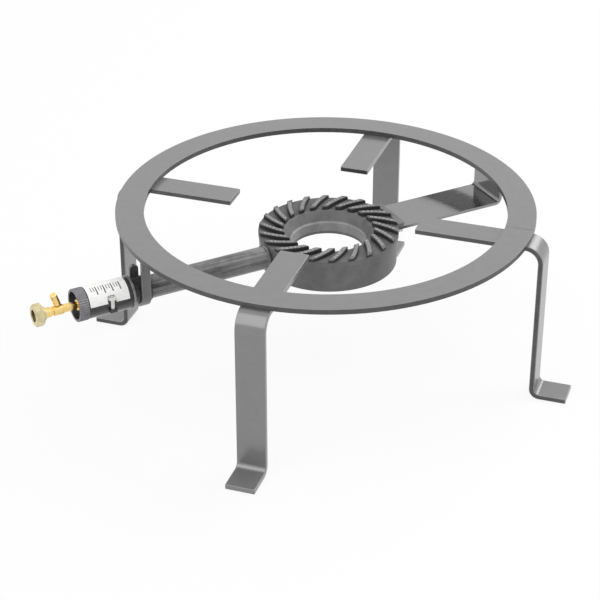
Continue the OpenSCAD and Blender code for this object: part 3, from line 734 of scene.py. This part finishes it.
def label():
    """The blank white label, with a plain printed scale of ticks in place of words."""
    film_piece = settle(copy_of("label_sticker"), "label_film_piece", "label_sticker", [PAPER], crease=40)
    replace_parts(film_piece, "label_sticker")
    bm = bmesh.new()
    face = HOUSING_R + LABEL_T
    for i in range(TICK_N):
        at = TICK_FROM + i * TICK_STEP
        start, width = TICK_SHORT if i % 3 else TICK_LONG
        arc_block(bm, face - TICK_SUNK, face + TICK_PROUD, start, TICK_END, at, at + width)
    move(bm, INLET)
    settle(bm, "label_ticks", "label_sticker", [INK], crease=40)


def heads(bm):
    """Middle of the underside of each screw's head in bm, whose screws don't touch."""
    seen = set()
    for vert in bm.verts:
        if vert in seen:
            continue
        group, waiting = [], [vert]
        while waiting:
            v = waiting.pop()
            if v in seen:
                continue
            seen.add(v)
            group.append(v.co.copy())
            waiting.extend(e.other_vert(v) for e in v.link_edges)
        low = min(co.z for co in group)
        head = [co for co in group if co.z < low + HEAD_LEVEL * MM]
        yield sum(head, Vector()) / len(head)


def screws(node, name):
    """Pan-head screws with a cross recess, from the CAD screws."""
    bm = copy_of(node)
    spots = list(heads(bm))
    for turn in RECESS_TURNS:
        tool = bmesh.new()
        for spot in spots:
            bmesh.ops.create_cube(tool, size=1, matrix=(
                Matrix.Translation(spot) @ Matrix.Rotation(math.radians(turn), 4, "Z")
                @ Matrix.Diagonal([v * MM for v in RECESS] + [1])))
        bm = cut_away(bm, tool)
    piece = settle(bm, name, node, [SCREW_PLATE], bevel=0.25)
    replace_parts(piece, node)


def upright(face):
    """True for a face that stands more upright than level."""
    return abs(face.normal.z) < 0.5


def shaded_near_side(face):
    """True for a bar's long side that faces the stand's front, which takes a darker look as painted shade.
    """
    return face.normal.y < -0.5


def bar_end(face):
    """True for a bar's sheared inner end."""
    middle = face.calc_center_median()
    return upright(face) and max(abs(middle.x), abs(middle.y)) < BAR_END_R * MM


def stand():
    """The pot ring, its four bars, the strap and the tube's hanger."""
    # The ring's upright edges and the front and rear bars' inner ends are darker, partly as cut edges and
    # partly as painted shade; the left and right bars' front-facing sides are darker as painted shade only.
    dress("pot_ring", STEEL, 0.45, STEEL_EDGE_HIGHLIGHT, 3, darkened=upright)
    for side, darkened in (("right", shaded_near_side), ("rear", bar_end), ("left", shaded_near_side), ("front", bar_end)):
        dress(f"leg_{side}", STEEL, 0.7, STEEL_EDGE_HIGHLIGHT, 3, darkened=darkened)
    dress("support_strap", STRAP_STEEL, 0.4, STEEL_EDGE_HIGHLIGHT)
    dress("tube_hanger", HOOK_SHADED_STEEL, 0.5, STEEL_EDGE_HIGHLIGHT)


def gas_train():
    """The bowl, the tube, the mixer with its collar, and the brass from the jet to the nut."""
    dress("burner_bowl", IRON, 0.9, IRON_EDGE_HIGHLIGHT, 3)
    dress("mixing_tube", TUBE_LACQUER_REFLECTIONS, 0.4)
    dress("mixer_housing", BLACK, 0.35)
    dress("housing_band", BAND_AND_HIGHLIGHT, 0.2)
    dress("clamp_screw", SCREW_PLATE, 0.25)
    dress("air_collar", COLLAR, 0.16, crease=24)
    for node, bevel in (("jet_holder", 0.15), ("gas_jet", 0.15), ("holder_nut", 0.2), ("tap_body", 0.3),
                        ("tap_rotor", 0.12), ("tap_lever", 0.35), ("inlet_nipple", 0.2)):
        dress(node, BRASS, bevel)
    dress("inlet_washer", RUBBER, 0.2)
    dress("union_nut", NUT_BRASS, 0.25)


# The stage

FLOOR_GLOW = 0.88
FLOOR_HALF = 6
FLOOR_DROP = 0.2 * MM
AIM = Vector((0, 0, 0.13))


def direction(azimuth, elevation):
    """The way out along a compass angle and an elevation in degrees."""
    a, e = math.radians(azimuth), math.radians(elevation)
    return Vector((math.cos(a) * math.cos(e), math.sin(a) * math.cos(e), math.sin(e)))


def in_scene(name, data):
    """A new object in the scene that holds the data."""
    made = bpy.data.objects.new(name, data)
    bpy.context.scene.collection.objects.link(made)
    return made


def sheet(name, x, y):
    """A level rectangle, x and y metres from its middle to its sides."""
    mesh = bpy.data.meshes.new(name)
    mesh.from_pydata([(-x, -y, 0), (x, -y, 0), (x, y, 0), (-x, y, 0)], [], [(0, 1, 2, 3)])
    return in_scene(name, mesh)


def white_seen(tree):
    """A factor that is 1 for camera, glossy and transmission rays, and 0 for the rest."""
    path = tree.nodes.new("ShaderNodeLightPath")
    seen = path.outputs["Is Camera Ray"]
    for kind in ("Is Glossy Ray", "Is Transmission Ray"):
        either = tree.nodes.new("ShaderNodeMath")
        either.operation = "MAXIMUM"
        tree.links.new(seen, either.inputs[0])
        tree.links.new(path.outputs[kind], either.inputs[1])
        seen = either.outputs[0]
    return seen


def floor():
    """A pale floor that glows for the rays that see it and takes soft shadows."""
    plane = sheet("studio_floor", FLOOR_HALF, FLOOR_HALF)
    material = bpy.data.materials.new("studio_floor_white")
    material.use_nodes = True
    tree = material.node_tree
    tree.nodes.clear()
    out = tree.nodes.new("ShaderNodeOutputMaterial")
    pale = tree.nodes.new("ShaderNodeBsdfDiffuse")
    pale.inputs["Color"].default_value = (0.86, 0.86, 0.86, 1)
    glow = tree.nodes.new("ShaderNodeEmission")
    glow.inputs["Strength"].default_value = 1.0
    share = tree.nodes.new("ShaderNodeMath")
    share.operation = "MULTIPLY"
    share.inputs[1].default_value = FLOOR_GLOW
    mixed = tree.nodes.new("ShaderNodeMixShader")
    tree.links.new(white_seen(tree), share.inputs[0])
    tree.links.new(share.outputs[0], mixed.inputs["Fac"])
    tree.links.new(pale.outputs[0], mixed.inputs[1])
    tree.links.new(glow.outputs[0], mixed.inputs[2])
    tree.links.new(mixed.outputs[0], out.inputs["Surface"])
    plane.data.materials.append(material)
    plane.location.z = -FLOOR_DROP
    plane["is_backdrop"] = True


def flag(azimuth, elevation, distance, width, height):
    """A dark card beside and behind the camera, which the metal mirrors."""
    card = sheet("studio_flag", width / 2, height / 2)
    material = bpy.data.materials.new("studio_flag_black")
    material.use_nodes = True
    shader = material.node_tree.nodes["Principled BSDF"]
    shader.inputs["Base Color"].default_value = (0.03, 0.03, 0.03, 1)
    shader.inputs["Roughness"].default_value = 0.8
    card.data.materials.append(material)
    way = direction(azimuth, elevation)
    card.location = way * distance
    card.rotation_euler = way.to_track_quat("Z", "Y").to_euler()
    card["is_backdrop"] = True


def world(fill):
    """A white surround: full for the rays that see it, and fill for the light that it gives."""
    made = bpy.data.worlds.new("studio")
    bpy.context.scene.world = made
    made.use_nodes = True
    tree = made.node_tree
    background = tree.nodes["Background"]
    background.inputs["Color"].default_value = (1, 1, 1, 1)
    strength = tree.nodes.new("ShaderNodeMapRange")
    strength.inputs["To Min"].default_value = fill
    strength.inputs["To Max"].default_value = 1.0
    tree.links.new(white_seen(tree), strength.inputs["Value"])
    tree.links.new(strength.outputs["Result"], background.inputs["Strength"])


def lamp(name, azimuth, elevation, distance, size, power):
    """A soft square lamp aimed at the burner from a compass angle."""
    data = bpy.data.lights.new(name, "AREA")
    data.shape = "SQUARE"
    data.size = size
    data.energy = power
    made = in_scene(name, data)
    way = direction(azimuth, elevation)
    made.location = AIM + way * distance
    made.rotation_euler = way.to_track_quat("Z", "Y").to_euler()


def camera():
    """The photograph's camera."""
    data = bpy.data.cameras.new("photo_camera")
    data.sensor_width = 36
    data.lens = CAMERA_LENS
    data.clip_end = 50
    made = in_scene("photo_camera", data)
    made.location = [v * MM for v in CAMERA_AT]
    made.rotation_euler = (math.radians(90 - CAMERA_DOWN), 0, math.radians(CAMERA_TURN))
    bpy.context.scene.camera = made


camera()
stand()
welds()
crown()
gas_train()
label()
screws("bowl_screws", "bowl_screw_set")
screws("lug_screws", "lug_screw_set")
floor()
flag(azimuth=282, elevation=30, distance=2.9, width=1.5, height=1.1)
world(fill=0.58)
lamp("key", azimuth=52, elevation=44, distance=2.6, size=2.4, power=44)
lamp("fill", azimuth=262, elevation=50, distance=2.6, size=3.0, power=36)
bpy.context.scene.view_settings.view_transform = "Standard"

boxes = {"cad": cad_box, "visual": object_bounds()}
{name: [[float(v) for v in corner] for corner in box] for name, box in boxes.items()}
